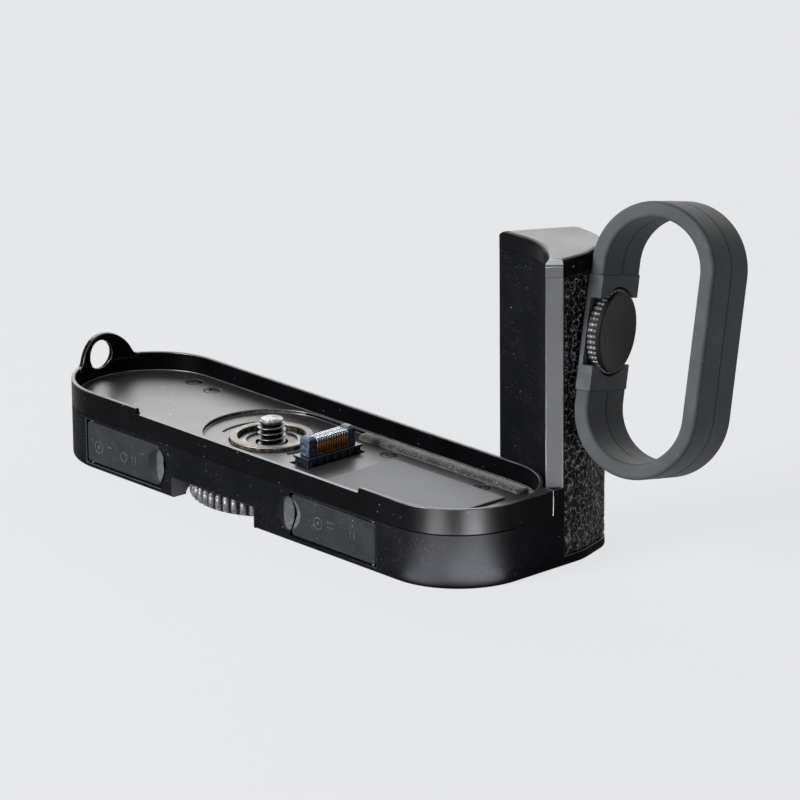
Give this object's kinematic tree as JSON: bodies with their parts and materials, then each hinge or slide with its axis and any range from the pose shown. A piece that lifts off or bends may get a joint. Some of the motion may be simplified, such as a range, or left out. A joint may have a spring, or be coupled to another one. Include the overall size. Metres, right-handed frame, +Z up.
{
  "type": "camera hand grip",
  "caption": "Low tray that screws under a camera, with a column grip at one end, a swivelling finger loop, a thumbwheel camera screw and hinged socket covers.",
  "frame": {"origin": "on the camera screw's axis, at the level of the grip's underside", "axes": "+X along the tray towards the column, +Y towards the camera's front, +Z up along the camera screw"},
  "size_m": [0.1678, 0.066, 0.0804],
  "materials": {
    "housing_paint": "black satin paint on cast magnesium",
    "tray_paint": "black semi-gloss paint",
    "leatherette": "coarse grained black leatherette",
    "cap_plastic": "black satin plastic",
    "seal_foam": "black flocked foam",
    "plate_paint": "black satin plate",
    "connector_plastic": "blue-grey moulded plastic",
    "contact_gold": "gold-plated contacts",
    "satin_steel": "satin turned steel",
    "washer_steel": "spring steel",
    "pin_steel": "bright steel",
    "bush_brass": "turned brass",
    "board_laminate": "green circuit board",
    "socket_steel": "plated steel shell",
    "socket_plastic": "black moulded plastic",
    "socket_brass": "plated brass",
    "antenna_ceramic": "ceramic block",
    "cable_film": "amber polyimide film",
    "black_screw": "blackened steel",
    "wheel_metal": "black anodised aluminium",
    "screw_steel": "bright turned steel",
    "flap_rubber": "moulded dark rubber",
    "loop_rubber": "moulded grey-black rubber",
    "insert_plastic": "moulded black plastic",
    "knob_metal": "black anodised aluminium"
  },
  "bodies": {
    "root": {"base_housing": "housing_paint", "top_tray": "tray_paint", "grip_leatherette": "leatherette", "column_cap": "cap_plastic", "light_seal": "seal_foam", "floor_plate": "plate_paint", "connector_base": "connector_plastic", "connector_body": "connector_plastic", "connector_pins": "contact_gold", "guide_ring": "satin_steel", "friction_washer": "washer_steel", "left_flap_pin": "pin_steel", "right_flap_pin": "pin_steel", "loop_bush": "bush_brass", "main_board": "board_laminate", "usb_socket": "socket_steel", "power_socket": "socket_plastic", "flash_socket": "socket_plastic", "sync_socket": "socket_brass", "antenna_board": "board_laminate", "antenna_patch": "antenna_ceramic", "antenna_cable": "cable_film", "tray_screws": "black_screw", "board_screws": "pin_steel"},
    "wheel": {"thumbwheel": "wheel_metal", "camera_screw": "screw_steel", "retaining_clip": "washer_steel"},
    "left_cover": {"left_flap": "flap_rubber"},
    "right_cover": {"right_flap": "flap_rubber"},
    "loop": {"finger_loop": "loop_rubber", "loop_insert": "insert_plastic"},
    "knob": {"loop_knob": "knob_metal", "knob_screw": "screw_steel"}
  },
  "joints": [
    {"name": "wheel_spin", "type": "hinge", "parent": "root", "child": "wheel", "pos_m": [0, 0, 0.0024], "axis": [0, 0, 1], "continuous": true},
    {"name": "left_flap_hinge", "type": "hinge", "parent": "root", "child": "left_cover", "pos_m": [-0.0409, -0.01781, 0.0063], "axis": [0, 0, -1], "range_deg": [0, 100]},
    {"name": "right_flap_hinge", "type": "hinge", "parent": "root", "child": "right_cover", "pos_m": [0.05335, -0.01781, 0.0063], "axis": [0, 0, 1], "range_deg": [0, 100]},
    {"name": "loop_swivel", "type": "hinge", "parent": "root", "child": "loop", "pos_m": [0.07754, 0.02587, 0.05], "axis": [0.9514, 0.3081, 0], "range_deg": [-45, 45]},
    {"name": "knob_spin", "type": "hinge", "parent": "root", "child": "knob", "pos_m": [0.07754, 0.02587, 0.05], "axis": [0.9514, 0.3081, 0], "continuous": true}
  ]
}
